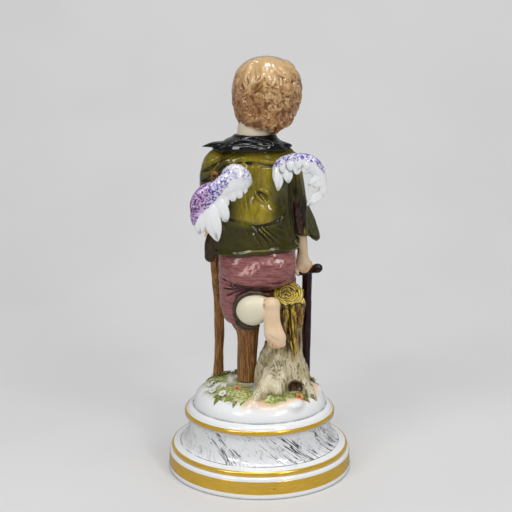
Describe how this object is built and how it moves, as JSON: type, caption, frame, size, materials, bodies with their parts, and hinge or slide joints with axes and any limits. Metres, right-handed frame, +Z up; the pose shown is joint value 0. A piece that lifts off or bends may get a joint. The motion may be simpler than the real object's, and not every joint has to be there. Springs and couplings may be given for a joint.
{
  "type": "porcelain figurine",
  "caption": "glazed porcelain figure of a winged child with a peg leg, a crutch and a cane, leaning on a tree stump over a round gilded and marbled plinth",
  "frame": {"origin": "centre of the round foot ring, on the surface that the figurine stands on", "axes": "+Z up, +Y the way the child faces, +X the child's right-hand side"},
  "size_m": [0.0946, 0.0946, 0.21],
  "materials": {
    "white_glaze": "clear glaze over white porcelain, with grey marbling and thin dark lines on the plinth and green and peach washes on the mound",
    "gilding": "burnished gold fired over the glaze, for the plinth's bands",
    "bark_glaze": "glazed cream and grey with brown, yellow and black streaks",
    "wood_glaze": "glazed brown with darker upright grain",
    "dark_wood_glaze": "glazed almost black, with a maroon tinge",
    "breeches_glaze": "glazed mauve with brush strokes and a paler worn patch",
    "jacket_glaze": "glazed olive green, darker in the folds",
    "collar_glaze": "glazed black",
    "shirt_glaze": "glazed cream",
    "skin_glaze": "glazed pale flesh",
    "hair_glaze": "glazed ginger with fine brown strokes",
    "wing_glaze": "glazed white, with violet dabs on the short feathers",
    "leaf_glaze": "glazed leaf green",
    "blossom_white_glaze": "glazed white with a yellow eye",
    "blossom_orange_glaze": "glazed orange with a dark eye"
  },
  "bodies": {
    "root": {"plinth": "white_glaze", "ground_mound": "white_glaze", "tree_stump": "bark_glaze", "peg_leg": "wood_glaze", "crutch_shaft": "wood_glaze", "crutch_armrest": "wood_glaze", "cane_shaft": "dark_wood_glaze", "cane_handle": "dark_wood_glaze", "breeches": "breeches_glaze", "left_leg": "skin_glaze", "right_leg": "skin_glaze", "jacket": "jacket_glaze", "shirt_front": "shirt_glaze", "collar": "collar_glaze", "left_sleeve": "jacket_glaze", "right_sleeve": "jacket_glaze", "left_forearm": "skin_glaze", "right_forearm": "skin_glaze", "head": "skin_glaze", "hair": "hair_glaze", "left_wing": "wing_glaze", "right_wing": "wing_glaze", "leaf_sprigs": "leaf_glaze", "grass_tufts": "leaf_glaze", "white_blossoms": "blossom_white_glaze", "orange_blossoms": "blossom_orange_glaze"}
  },
  "joints": []
}
